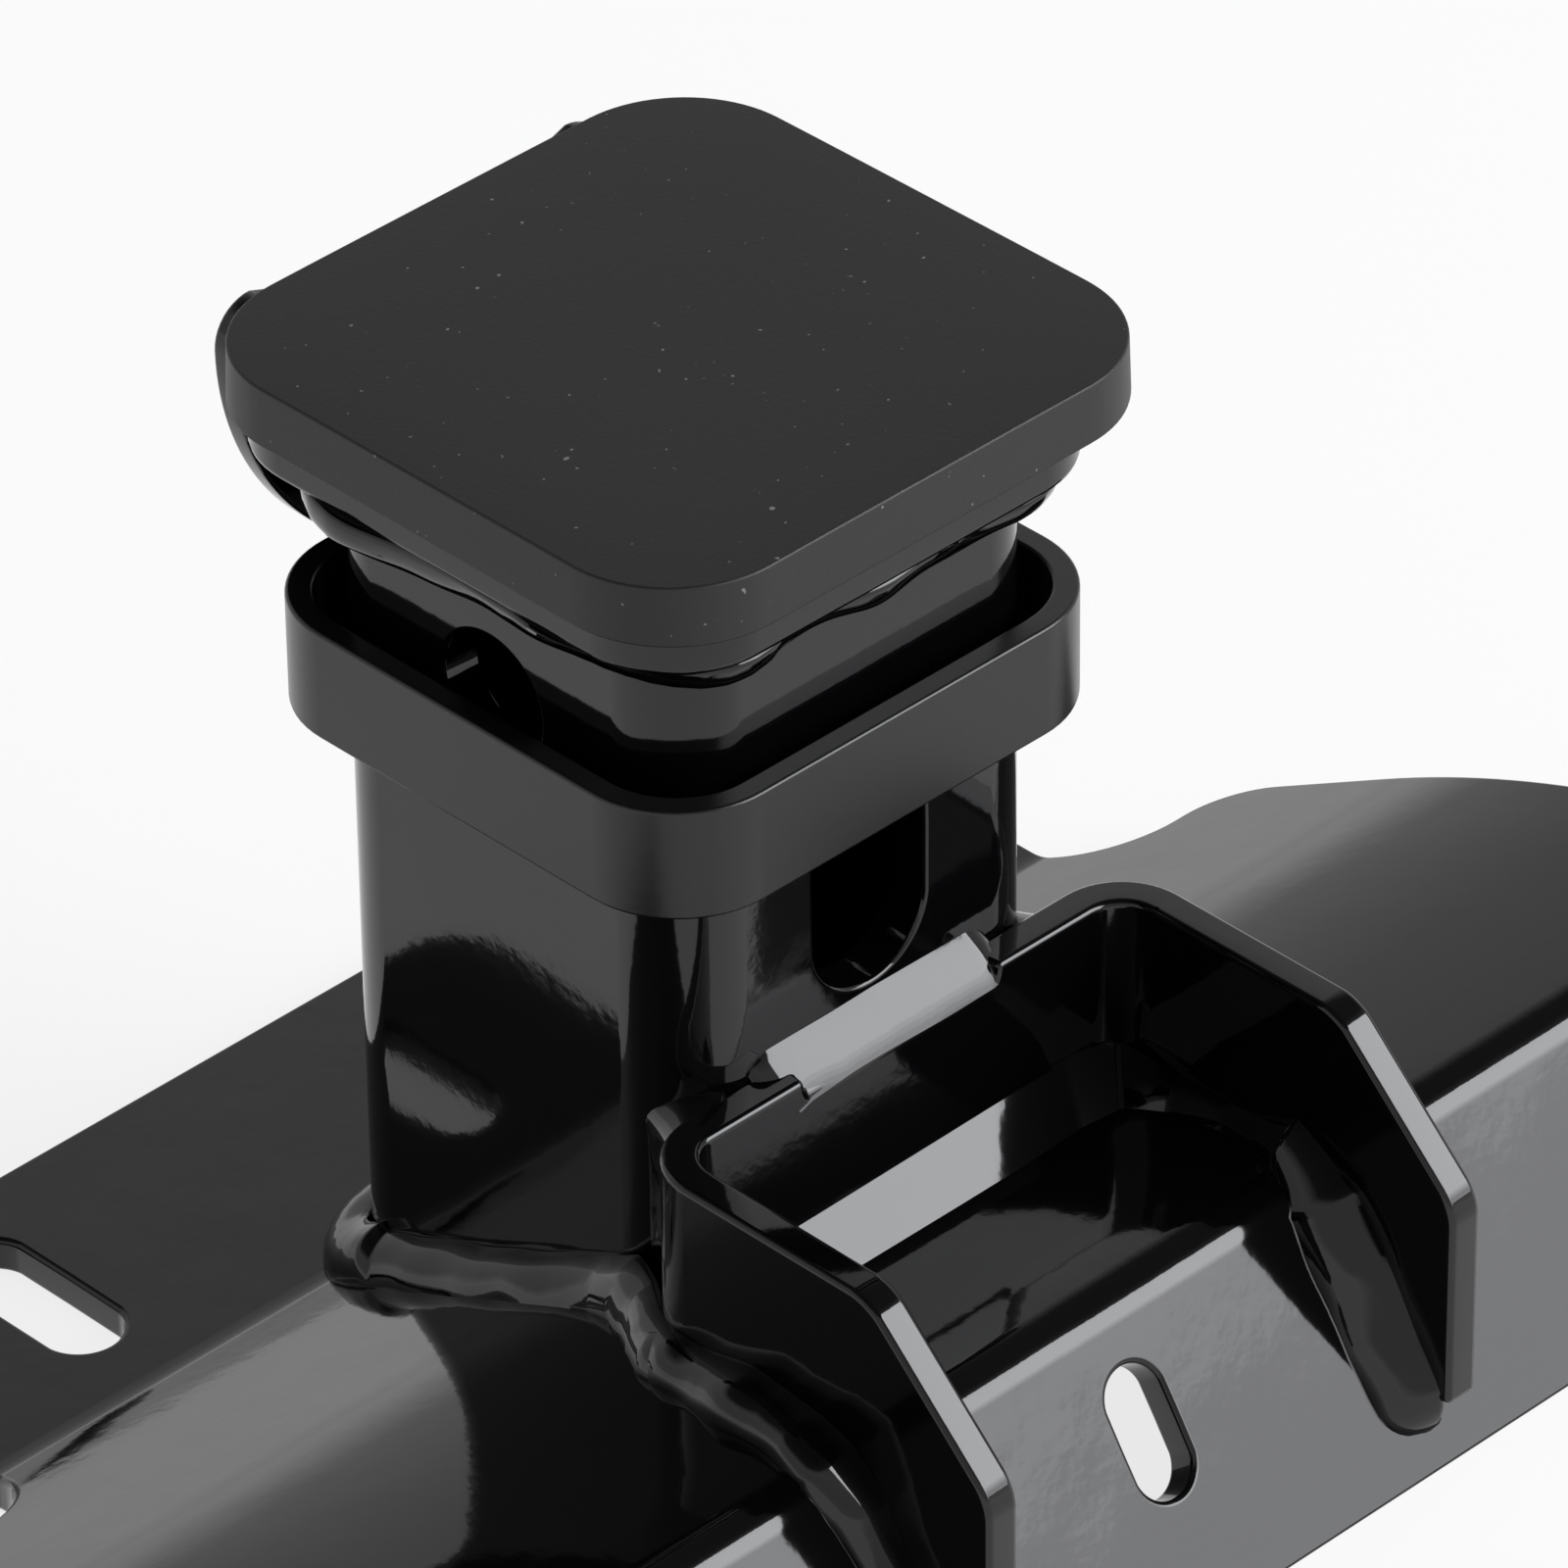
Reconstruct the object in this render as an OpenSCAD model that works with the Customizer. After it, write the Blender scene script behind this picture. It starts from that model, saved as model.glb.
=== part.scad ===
// Trailer hitch receiver, standing on its body plate with the receiver tube pointing up.
// Millimetres. +X runs along the body plate, -Y points at the chain bracket and +Z runs up
// the tube. The origin is midway between the two flange slots, on the flange's underside.

/* [Receiver tube] */
// Outside width of the square tube
tube_w = 63.5; // [58:0.5:68]
// Wall of the tube
tube_wall = 6.35; // [4:0.05:8]
// Outside corner radius of the tube
tube_r = 11; // [8:0.5:13]
// Height of the tube's mouth above the flange's underside
tube_top = 134; // [126:1:150]
// Radius of the hitch pin's hole
pin_r = 8.5; // [7:0.1:9.5]
// Distance from the tube's mouth down to the pin's axis
pin_drop = 28.4; // [26:0.1:32]
// Width of the slot in the front of the tube
slot_w = 19; // [12:1:24]
// Length of the slot in the front of the tube
slot_len = 36; // [26:1:40]
// Height of the slot's lower end above the chain bracket's top edge
slot_rise = 4; // [2:0.5:8]

/* [Mouth collar] */
// Thickness of the collar welded round the mouth
collar_t = 6.35; // [4:0.05:8]
// Height of the collar
collar_h = 8.5; // [7:0.5:12]
// Leg of the weld under the collar
collar_leg = 5; // [3:0.5:6]

/* [Sliding band] */
// Height of the loose band round the tube
band_h = 15.6; // [12:0.2:18]
// Thickness of the band's wall
band_t = 3.4; // [2:0.1:4]
// Open gap between the tube and the band's wall
band_gap = 3; // [2:0.1:4]
// Height of the band's inner lip, which guides it on the tube
band_lip = 6; // [4:0.5:9]
// Height of the band's top edge above the pin's axis
band_over_pin = 0.9; // [0:0.1:3]

/* [End cap] */
// Width of the cap's square plate
cap_w = 86; // [80:1:92]
// Thickness of the cap's plate
cap_t = 8.6; // [6:0.2:11]
// Corner radius of the cap's plate
cap_r = 16.5; // [12:0.5:20]
// Depth of the plug inside the tube
plug_depth = 14; // [8:1:16]
// Wall of the hollow plug
plug_wall = 3; // [2:0.5:5]

/* [Rear tab] */
// Thickness of the tab
tab_t = 3.6; // [3:0.1:5]
// Width of the tab at its widest
tab_w = 64.4; // [58:0.2:72]
// Height of the tab
tab_h = 41; // [38:0.5:48]
// Depth of the tab's shoulders below the cap's top
tab_drop = 2; // [0.5:0.1:4]
// Radius of the tab's curved sides
tab_side_r = 41; // [36:1:50]

/* [Chain bracket] */
// Outside width of the bracket over its ears
bracket_w = 85; // [84:1:94]
// Distance of the bracket's middle to the right of the tube's axis
bracket_x = 1; // [0:0.5:2]
// Thickness of the bent bar
bracket_t = 5; // [4:0.25:6]
// Reach of the ears in front of the tube
bracket_reach = 61; // [56:1:66]
// Height of the bracket's top edge above the flange's underside
bracket_top = 59.5; // [55:0.5:62]
// Outside radius of the bracket's bends
bend_r = 10; // [7:0.5:11]
// Length of the chamfer along the ear's top edge
chamfer_y = 20.3; // [14:0.1:24]
// Drop of the chamfer at the ear's front edge
chamfer_z = 19.5; // [12:0.5:22]
// Height of the ears' lower edge above the flange's underside
ear_low = 10; // [4:0.5:14]

/* [Body plate] */
// Thickness of the body plate
plate_t = 5; // [4:0.25:6]
// Half length of the body plate at its front
plate_half = 130; // [122:1:145]
// Half length of the flange at the back
flange_half = 92; // [84:1:100]
// Depth of the flat flange
flange_depth = 45.5; // [40:0.5:52]
// Distance from the tube's axis back to the foot of the ramp
ramp_foot = 29; // [26:0.5:31]
// Angle of the ramp
ramp_angle = 25; // [20:0.5:28]
// Radius of the crown in front of the ramp
crown_r = 140; // [120:5:160]
// Distance from the tube's axis forward to the crown's top
crown_y = 66; // [62:1:70]
// Outside radius of the front bend
nose_r = 7; // [6.5:0.5:9]
// Angle of the front plate from upright
front_angle = 33; // [28:0.5:36]
// Inside radius of the bend at the foot of the ramp
foot_r = 8; // [5:0.5:12]

/* [Bolt slots] */
// Width of the two slots in the flange
flange_slot_w = 11; // [9:0.5:13]
// Length of the two slots in the flange
flange_slot_len = 28; // [20:1:32]
// Distance between the two slots in the flange
flange_slot_gap = 128; // [110:1:140]
// Distance of the flange slots' centres from the tube's axis
flange_slot_y = 52.5; // [50:0.5:54]
// Width of the slot in the front plate
front_slot_w = 9; // [7:0.5:12]
// Length of the slot in the front plate
front_slot_len = 17.5; // [14:0.5:22]
// Distance of the front slot's centre below the front bend
front_slot_drop = 13.5; // [12:0.5:17]

/* [Welds] */
// Leg of the weld round the foot of the tube
foot_leg = 6; // [4:0.5:7]
// Leg of the welds along the chain bracket's lower edges
ear_leg = 4.8; // [3:0.2:6]
// Length of the weld on the chain bracket's top edge
top_weld_len = 40; // [30:1:46]
// Radius of the welds between the tube's corners and the bracket
corner_weld_r = 5; // [4:0.5:6]

/* [Hidden] */
$fn = 48;
// Clearance of a part that slides on or in the tube
slide_clear = 0.3;
// Clearance between the cap and the rear tab
tab_clear = 0.6;
// Lift of a weld's straight foot over the plate's crown
crown_lift = 0.05;
// How far cutting solids run past what they cut
over = 1;
black = [0.03, 0.03, 0.035];
rubber_black = [0.09, 0.09, 0.09];
half = tube_w / 2;
inner_half = half - tube_wall;
pin_z = tube_top - pin_drop;
// Side of the collar and the band, from the tube's axis
collar_half = half + collar_t;
collar_low = tube_top - collar_h;
// Reach of the weld under the collar, from the tube's side
collar_toe = collar_t - 0.4;
collar_back = max(cap_w / 2 + tab_clear, collar_half);
band_half = half + band_gap + band_t;
band_top = pin_z + band_over_pin;
cap_top = tube_top + cap_t;
plug_half = inner_half - slide_clear;
web_y = -half - bracket_t;
ear_front = -half - bracket_reach;

// Points of an arc in a plane, from angle a0 to a1 in n steps
function arc(c, r, a0, a1, n) =
    [for (i = [0:n]) c + r * [cos(a0 + (a1 - a0) * i / n), sin(a0 + (a1 - a0) * i / n)]];

// Section of the body plate, as (distance behind the tube's axis, height): the top surface
// at depth 0 and the underside at depth plate_t, each from the flange's back edge forward
bend_y = ramp_foot + foot_r * tan(ramp_angle / 2);
crown_tangent = [-crown_y + crown_r * sin(ramp_angle), crown_r * cos(ramp_angle)];
ramp_start = [bend_y - foot_r * sin(ramp_angle), plate_t + foot_r * (1 - cos(ramp_angle))];
crown_z = ramp_start[1] + (ramp_start[0] - crown_tangent[0]) * tan(ramp_angle) - crown_tangent[1];
crest_z = crown_z + crown_r;
nose_c = [-crown_y, crest_z - nose_r];
nose_end = 180 - front_angle;
function nose_tip(d) = nose_c + (nose_r - d) * [cos(nose_end), sin(nose_end)];
function front_foot(d) = [nose_tip(d)[0] - nose_tip(d)[1] * tan(front_angle), 0];
function plate_line(d) = concat(
    [[ramp_foot + flange_depth, plate_t - d]],
    arc([bend_y, plate_t + foot_r], foot_r + d, 270, 270 - ramp_angle, 4),
    arc([-crown_y, crown_z], crown_r - d, 90 - ramp_angle, 90, 12),
    arc(nose_c, nose_r - d, 90 + (90 - front_angle) / 6, nose_end, 5),
    [front_foot(d)]);
top_line = plate_line(0);
function reversed(v) = [for (i = [len(v) - 1:-1:0]) v[i]];
top_table = reversed(top_line);
// Height of the plate's top surface at a distance behind the tube's axis
function plate_z(y) = lookup(y, top_table);

// Puts what is drawn about the tube's axis into the part's frame
module place() {
    translate([0, -flange_slot_y, 0]) children();
}

// A square with rounded corners, from its half width and corner radius
module rounded_square(h, r) {
    square([2 * h, 2 * (h - r)], center = true);
    square([2 * (h - r), 2 * h], center = true);
    for (x = [-1, 1], y = [-1, 1]) translate([x * (h - r), y * (h - r)]) circle(r);
}

// A square ring with rounded corners, the inner corner following from the wall
module square_ring(h, r, wall) {
    difference() {
        rounded_square(h, r);
        rounded_square(h - wall, max(r - wall, 1));
    }
}

// A flat slot with round ends, along y
module slot_shape(w, len) {
    square([w, len - w], center = true);
    for (s = [-1, 1]) translate([0, s * (len - w) / 2]) circle(w / 2);
}

// Turns a drawing of (y, z) into a solid along x, centred
module along_x(length) {
    translate([-length / 2, 0, 0]) rotate([90, 0, 90]) linear_extrude(length) children();
}

// Everything from the plate's top surface down
module under_plate() {
    low = -10;
    back = ramp_foot + flange_depth;
    along_x(3 * plate_half)
        polygon(concat(top_line, [[front_foot(0)[0], low], [back, low]]));
}

// A weld along a row of corner points, with a toe at vector a on one wall and b on the other
module weld(corner, a, b) {
    steps = 5;
    flat = 0.22;
    ring = steps + 2;
    count = len(corner);
    function leg(i, t) = (a[i] * cos(t) + b[i] * sin(t)) * (1 - flat * sin(2 * t));
    points = [for (i = [0:count - 1]) each concat([corner[i]],
        [for (k = [0:steps]) corner[i] + leg(i, 90 * k / steps)])];
    sides = [for (i = [0:count - 2], k = [0:ring - 1])
        [i * ring + k, i * ring + (k + 1) % ring, (i + 1) * ring + (k + 1) % ring, (i + 1) * ring + k]];
    polyhedron(points, concat(sides, [[for (k = [ring - 1:-1:0]) k]],
        [[for (k = [0:ring - 1]) (count - 1) * ring + k]]), convexity = 6);
}

// Plan of the body plate: a flange with rounded corners that steps out to the full length
module plate_plan() {
    corner = 10;
    step_y = 17;
    step_r = 12;
    shoulder_r = 10;
    flare = 13;
    flare_r = 130;
    shoulder_x = flange_half + step_r + 2;
    front = ear_front - 20;
    back = ramp_foot + flange_depth;
    side = concat(
        arc([flange_half - corner, back - corner], corner, 90, 0, 6),
        arc([flange_half + step_r, step_y + step_r], step_r, 180, 270, 6),
        arc([shoulder_x, step_y - shoulder_r], shoulder_r, 90, flare, 6),
        arc([plate_half - flare_r, -crown_y - nose_r], flare_r, flare, 0, 6),
        [[plate_half, front]]);
    polygon(concat(side, [for (p = reversed(side)) [-p[0], p[1]]]));
}

module body_plate() {
    color(black) place() difference() {
        intersection() {
            along_x(2 * plate_half) polygon(concat(top_line, reversed(plate_line(plate_t))));
            translate([0, 0, -over]) linear_extrude(crest_z + 2 * over) plate_plan();
        }
        for (s = [-1, 1]) translate([s * flange_slot_gap / 2, flange_slot_y, -over])
            linear_extrude(plate_t + 2 * over) slot_shape(flange_slot_w, flange_slot_len);
        translate([0, nose_tip(0)[0], nose_tip(0)[1]]) rotate([90 - front_angle, 0, 0])
            translate([0, -front_slot_drop, -plate_t - over])
                linear_extrude(plate_t + 2 * over) slot_shape(front_slot_w, front_slot_len);
    }
}

module tube_solid() {
    linear_extrude(tube_top) rounded_square(half, tube_r);
}

module receiver_tube() {
    slot_mid = bracket_top + slot_rise + slot_len / 2;
    color(black) place() difference() {
        linear_extrude(tube_top) square_ring(half, tube_r, tube_wall);
        under_plate();
        translate([0, 0, pin_z]) rotate([0, 90, 0]) cylinder(h = tube_w + 2 * over, r = pin_r, center = true);
        translate([0, -half - over, slot_mid]) rotate([-90, 0, 0])
            linear_extrude(tube_wall + 2 * over) slot_shape(slot_w, slot_len);
    }
}

// The collar, whose back reaches out to carry the rear tab
module mouth_collar() {
    stretch = collar_back - collar_half;
    corner = tube_r + collar_t / 2;
    color(black) place() translate([0, 0, collar_low])
        linear_extrude(collar_h) difference() {
            union() {
                rounded_square(collar_half, corner);
                translate([0, stretch]) rounded_square(collar_half, corner);
                translate([-collar_half, 0]) square([2 * collar_half, stretch]);
            }
            rounded_square(half, tube_r);
        }
}

module mouth_collar_weld() {
    side = half - tube_r;
    module section() {
        polygon([[0, 0], [collar_toe, 0], [0, -collar_leg]]);
    }
    color(black) place() translate([0, 0, collar_low]) for (q = [0:3]) rotate([0, 0, 90 * q]) {
        translate([half, 0, 0]) rotate([90, 0, 0]) linear_extrude(2 * side, center = true) section();
        translate([side, side, 0]) rotate_extrude(angle = 90) translate([tube_r, 0]) section();
    }
}

module sliding_band() {
    outer_r = tube_r + band_t;
    color(rubber_black) place() translate([0, 0, band_top - band_h]) difference() {
        linear_extrude(band_h) rounded_square(band_half, outer_r);
        translate([0, 0, -over]) linear_extrude(band_h + 2 * over)
            rounded_square(half + slide_clear, tube_r + slide_clear);
        translate([0, 0, band_lip]) linear_extrude(band_h)
            rounded_square(band_half - band_t, outer_r - band_t);
    }
}

module end_cap() {
    plug_r = max(tube_r - tube_wall - slide_clear, 1);
    color(rubber_black) place() {
        translate([0, 0, tube_top]) linear_extrude(cap_t) rounded_square(cap_w / 2, cap_r);
        translate([0, 0, tube_top - plug_depth]) linear_extrude(plug_depth)
            square_ring(plug_half, plug_r, plug_wall);
    }
}

// A plate with shoulders at its top and curved sides that run in to its foot
module tab_outline() {
    shoulder = 6;
    dip = 2.2;
    wide = tab_w / 2;
    top = cap_top - tab_drop;
    low = top - tab_h;
    side_z = top - shoulder;
    side = concat(
        arc([wide - tab_side_r, side_z], tab_side_r, -asin((side_z - low) / tab_side_r), 0, 16),
        arc([wide - shoulder, side_z], shoulder, 0, 90, 8),
        [[wide - 2 * shoulder, top - dip]]);
    polygon(concat(side, [for (p = reversed(side)) [-p[0], p[1]]]));
}

module rear_tab() {
    color(black) place() translate([0, collar_back + tab_t, 0]) rotate([90, 0, 0])
        linear_extrude(tab_t) tab_outline();
}

// Fills the corner between the collar's underside and the tab, clear of the weld on the tube
module rear_tab_weld() {
    leg = min(collar_leg, collar_back - half - collar_toe);
    color(black) place() along_x(tube_w - 2 * tube_r)
        polygon([[collar_back, collar_low], [collar_back - leg, collar_low],
            [collar_back, collar_low - collar_leg]]);
}

module bracket_plan() {
    wide = bracket_w / 2;
    inner = wide - bracket_t;
    inner_r = bend_r - bracket_t;
    translate([bracket_x, 0]) difference() {
        intersection() {
            corners(wide, -half, bend_r);
            translate([-wide, ear_front]) square([2 * wide, bracket_reach]);
        }
        corners(inner, web_y, inner_r);
    }
    module corners(h, y, r) {
        for (s = [-1, 1]) translate([s * (h - r), y - r]) circle(r);
        translate([r - h, y - 2 * r]) square([2 * (h - r), 2 * r]);
        translate([-h, ear_front - over]) square([2 * h, y - r - ear_front + over]);
    }
}

module chain_bracket() {
    color(black) place() difference() {
        translate([0, 0, ear_low]) linear_extrude(bracket_top - ear_low) bracket_plan();
        under_plate();
        along_x(bracket_w + 4 * bracket_t) polygon([[ear_front - over, bracket_top + over],
            [ear_front + chamfer_y + over * chamfer_y / chamfer_z, bracket_top + over],
            [ear_front - over, bracket_top - chamfer_z - over * chamfer_z / chamfer_y]]);
    }
}

// Heights at which the plate's section turns, between two distances behind the tube's axis
function plate_turns(y0, y1) = concat([y0], [for (p = top_line) if (p[0] < y0 - 0.2 && p[0] > y1 + 0.2) p[0]], [y1]);

module tube_foot_weld() {
    steps = 8;
    flat_y = half - tube_r;
    side_y = plate_turns(flat_y, -flat_y);
    outside_r = tube_r / cos(45 / steps);
    function corner_at(s, i) = let (a = 90 * (i - 0.5) / steps)
        [s * (flat_y + outside_r * cos(a)), flat_y + outside_r * sin(a), s * cos(a), sin(a)];
    path = concat(
        [for (y = reversed(side_y)) [half, y, 1, 0]],
        [for (i = [1:steps]) corner_at(1, i)],
        [for (i = [steps:-1:1]) corner_at(-1, i)],
        [for (y = side_y) [-half, y, -1, 0]]);
    function toe(p) = [p[2] * foot_leg, p[3] * foot_leg, plate_z(p[1] + p[3] * foot_leg) - plate_z(p[1])];
    color(black) place() weld([for (p = path) [p[0], p[1], plate_z(p[1])]],
        [for (p = path) [0, 0, foot_leg]],
        [for (p = path) toe(p)]);
}

module bracket_top_weld() {
    steps = 12;
    x = [for (i = [0:steps]) top_weld_len * (i / steps - 0.5)];
    size = [for (i = [0:steps]) 0.4 + 0.6 * sqrt(sin(180 * (i + 0.5) / (steps + 1)))];
    color(black) place() weld(
        [for (v = x) [v, -half, bracket_top]],
        [for (s = size) [0, -(bracket_t - 0.2) * s, 0]],
        [for (s = size) [0, 0, (slot_rise - 0.8) * s]]);
}

// Fills the groove between a rounded corner of the tube and the back of the bracket
module corner_weld(side) {
    color(black) place() difference() {
        translate([side * (half + 0.5), -half + 0.5, 0]) {
            cylinder(h = bracket_top - corner_weld_r, r = corner_weld_r);
            translate([0, 0, bracket_top - corner_weld_r]) sphere(corner_weld_r);
        }
        under_plate();
        tube_solid();
        linear_extrude(bracket_top + over) bracket_plan();
        weld_block();
    }
}

// The room that the weld round the foot of the tube takes beside the corner welds
module weld_block() {
    translate([-2 * half, -half + tube_r - 0.01, 0]) cube([4 * half, tube_w, bracket_top + 2 * corner_weld_r]);
}

// Points of the plate's top surface between two distances, with its upward normal
function surface_walk(y0, y1) = let (mid = [for (p = top_line) if (p[0] < y0 && p[0] > y1) p],
    pts = concat([[y0, plate_z(y0)]], mid, [[y1, plate_z(y1)]]))
    [for (i = [0:len(pts) - 1]) let (d = pts[min(i + 1, len(pts) - 1)] - pts[max(i - 1, 0)])
        concat(pts[i], [d[1], -d[0]] / norm(d))];
ear_weld_end = front_foot(0)[0] + (ear_low + 1) * tan(front_angle);

module ear_weld(side) {
    wide = bracket_w / 2;
    path = surface_walk(-half - bend_r, ear_weld_end);
    color(black) place() translate([bracket_x, 0, 0]) weld([for (p = path) [side * wide, p[0], p[1]]],
        [for (p = path) [0, p[2], p[3]] * ear_leg],
        [for (p = path) [side * ear_leg, 0, 0]]);
}

module bracket_inner_weld() {
    steps = 4;
    inner = bracket_w / 2 - bracket_t;
    bend = bend_r - bracket_t;
    leg = min(ear_leg, bend - 0.2);
    ears = surface_walk(web_y - bend, ear_weld_end);
    function corner_at(s, i) = let (a = 90 * i / steps)
        [s * (inner - bend + bend * cos(a)), web_y - bend + bend * sin(a), -s * cos(a), -sin(a)];
    bends = concat([for (i = [1:steps]) corner_at(1, i)], [for (i = [steps:-1:1]) corner_at(-1, i)]);
    right = reversed(ears);
    points = concat([for (p = right) [inner, p[0], p[1]]],
        [for (p = bends) [p[0], p[1], plate_z(p[1]) + crown_lift]],
        [for (p = ears) [-inner, p[0], p[1]]]);
    up = concat([for (p = right) [0, p[2], p[3]] * ear_leg],
        [for (p = bends) [0, 0, ear_leg]],
        [for (p = ears) [0, p[2], p[3]] * ear_leg]);
    out = concat([for (p = right) [-leg, 0, 0]],
        [for (p = bends) [p[2] * leg, p[3] * leg, plate_z(p[1] + p[3] * leg) - plate_z(p[1])]],
        [for (p = ears) [leg, 0, 0]]);
    color(black) place() translate([bracket_x, 0, 0]) weld(points, up, out);
}

body_plate();
receiver_tube();
mouth_collar();
mouth_collar_weld();
sliding_band();
end_cap();
rear_tab();
rear_tab_weld();
chain_bracket();
tube_foot_weld();
bracket_top_weld();
corner_weld(-1);  // corner_weld_left
corner_weld(1);  // corner_weld_right
ear_weld(-1);  // ear_weld_left
ear_weld(1);  // ear_weld_right
bracket_inner_weld();
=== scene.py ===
"""Trailer hitch receiver, dressed for a studio picture.

Everything is in metres, in the part's own frame: +X along the body plate, -Y towards the
chain bracket, +Z up the receiver tube. Places given as (x, y, z) by at() are measured from
the tube's axis and the plane that the part stands on.
"""
import math

import bmesh
import bpy
from bpy.props import FloatProperty, PointerProperty, StringProperty
from mathutils import Matrix, Vector, noise


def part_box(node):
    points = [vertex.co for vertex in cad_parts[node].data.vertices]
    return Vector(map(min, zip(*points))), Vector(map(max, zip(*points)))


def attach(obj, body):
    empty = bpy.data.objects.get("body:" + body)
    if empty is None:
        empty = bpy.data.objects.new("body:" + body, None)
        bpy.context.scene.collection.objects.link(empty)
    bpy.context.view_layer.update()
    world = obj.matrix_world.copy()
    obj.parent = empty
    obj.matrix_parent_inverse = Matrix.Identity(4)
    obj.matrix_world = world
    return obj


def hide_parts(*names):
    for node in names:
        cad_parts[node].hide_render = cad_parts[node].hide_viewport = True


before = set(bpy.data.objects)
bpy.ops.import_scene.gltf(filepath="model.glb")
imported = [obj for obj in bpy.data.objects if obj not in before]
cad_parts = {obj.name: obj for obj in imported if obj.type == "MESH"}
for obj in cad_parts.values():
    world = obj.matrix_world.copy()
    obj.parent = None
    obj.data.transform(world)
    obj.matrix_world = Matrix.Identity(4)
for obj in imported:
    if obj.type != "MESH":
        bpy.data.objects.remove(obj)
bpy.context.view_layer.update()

bl_info = {
    "name": "Trailer Hitch Receiver",
    "version": (1, 0, 0),
    "blender": (4, 5, 0),
    "location": "View3D > Sidebar > Hitch",
    "description": "Models a trailer hitch receiver over its solids, piece by piece",
    "category": "Object",
}

MM = 0.001
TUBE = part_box("receiver_tube")
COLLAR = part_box("mouth_collar")
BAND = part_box("sliding_band")
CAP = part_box("end_cap")
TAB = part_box("rear_tab")
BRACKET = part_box("chain_bracket")
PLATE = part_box("body_plate")
AXIS_Y = (TUBE[0].y + TUBE[1].y) / 2
HALF = TUBE[1].x
MOUTH = TUBE[1].z
# How far cutting solids run past what they cut
OVER = 10 * MM
# Farther to the side than any piece reaches
FAR = 200 * MM


def at(x, y, z):
    """A place measured from the tube's axis."""
    return Vector((x, AXIS_Y + y, z))


# Sizes and colours


def length(name, text, default):
    return FloatProperty(name=name, description=text, default=default, min=0, unit="LENGTH",
                         subtype="DISTANCE")


def angle(name, text, degrees):
    return FloatProperty(name=name, description=text, default=math.radians(degrees), unit="ROTATION",
                         subtype="ANGLE")


def colour(name, text, code):
    return StringProperty(name=name, description=text + ", as sRGB hex", default=code)


class HitchPlateSizes(bpy.types.PropertyGroup):
    thickness: length("Thickness", "Thickness of the formed plate", 5 * MM)
    ramp_foot: length("Ramp foot", "Distance from the tube's axis back to the foot of the ramp", 29 * MM)
    ramp_angle: angle("Ramp angle", "Slope of the ramp", 25)
    foot_radius: length("Foot radius", "Inside radius of the bend at the ramp's foot", 8 * MM)
    crown_radius: length("Crown radius", "Radius of the crown in front of the ramp", 140 * MM)
    crown_y: length("Crown", "Distance from the tube's axis forward to the crown's top", 66 * MM)
    nose_radius: length("Front bend", "Outside radius of the front bend", 7 * MM)
    front_angle: angle("Front angle", "Angle of the front from upright", 33)
    flange_half: length("Flange", "Half length of the flange at the back", 92 * MM)
    flange_corner: length("Flange corner", "Radius of the flange's corners", 10 * MM)
    step_radius: length("Step", "Radius of the step out from the flange to the full length", 12 * MM)
    shoulder_radius: length("Shoulder", "Radius of the shoulder after the step", 10 * MM)
    shoulder_run: length("Shoulder run", "Straight stretch between the step and the shoulder", 2 * MM)
    flare: angle("Flare", "Angle at which each end runs out towards the front", 13)
    flare_y: length("Flare end", "Distance from the tube's axis forward to where the flare ends", 73 * MM)
    slot_width: length("Flange slot width", "Width of the two slots in the flange", 11 * MM)
    slot_length: length("Flange slot length", "Length of the two slots in the flange", 28 * MM)
    slot_x: length("Flange slot place", "Distance of each flange slot from the middle", 64 * MM)
    slot_y: length("Flange slot depth", "Distance of the flange slots behind the tube's axis", 52.5 * MM)
    front_slot_width: length("Front slot width", "Width of the slot in the front", 9 * MM)
    front_slot_length: length("Front slot length", "Length of the slot in the front", 17.5 * MM)
    front_slot_drop: length("Front slot place", "Distance of the front slot below the bend", 13.5 * MM)
    edge: length("Edge", "Radius of the coat over the plate's edges", 0.8 * MM)


class HitchTubeSizes(bpy.types.PropertyGroup):
    corner: length("Corner", "Outside corner radius of the tube", 11 * MM)
    wall: length("Wall", "Wall of the tube", 6.35 * MM)
    pin_radius: length("Pin hole", "Radius of the hitch pin's hole", 8.5 * MM)
    pin_drop: length("Pin hole place", "Distance from the mouth down to the pin's axis", 28.4 * MM)
    slot_width: length("Slot width", "Width of the slot in the front of the tube", 19 * MM)
    slot_low: length("Slot foot", "Height of the slot's lower end", 63.5 * MM)
    slot_high: length("Slot top", "Height of the slot's upper end", 99.5 * MM)
    collar_corner: length("Collar corner", "Outside corner radius of the collar", 14.2 * MM)
    collar_edge: length("Collar edge", "Radius of the collar's rounded edges", 1.2 * MM)
    edge: length("Edge", "Radius of the coat over the edges of the tube and the tab", 0.7 * MM)
    tab_shoulder: length("Tab shoulder", "Radius of the rear tab's shoulders", 6 * MM)
    tab_dip: length("Tab dip", "Depth of the dip between the rear tab's shoulders", 2.2 * MM)
    tab_side: length("Tab side", "Radius of the rear tab's curved sides", 41 * MM)
    tab_sag: length("Tab sag", "Distance of the tab's shoulders below their full height", 1.1 * MM)


class HitchBracketSizes(bpy.types.PropertyGroup):
    thickness: length("Thickness", "Thickness of the bent bar", 5 * MM)
    bend: length("Bend", "Outside radius of the bends", 10 * MM)
    chamfer_y: length("Chamfer length", "Length of the chamfer along the ear's top", 20.3 * MM)
    chamfer_z: length("Chamfer drop", "Drop of the chamfer at the ear's front", 19.5 * MM)
    corner: length("Chamfer corner", "Length that the rounding of the chamfer's corners takes", 2.8 * MM)
    edge: length("Edge", "Radius of the coat over the bracket's edges", 0.9 * MM)


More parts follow.
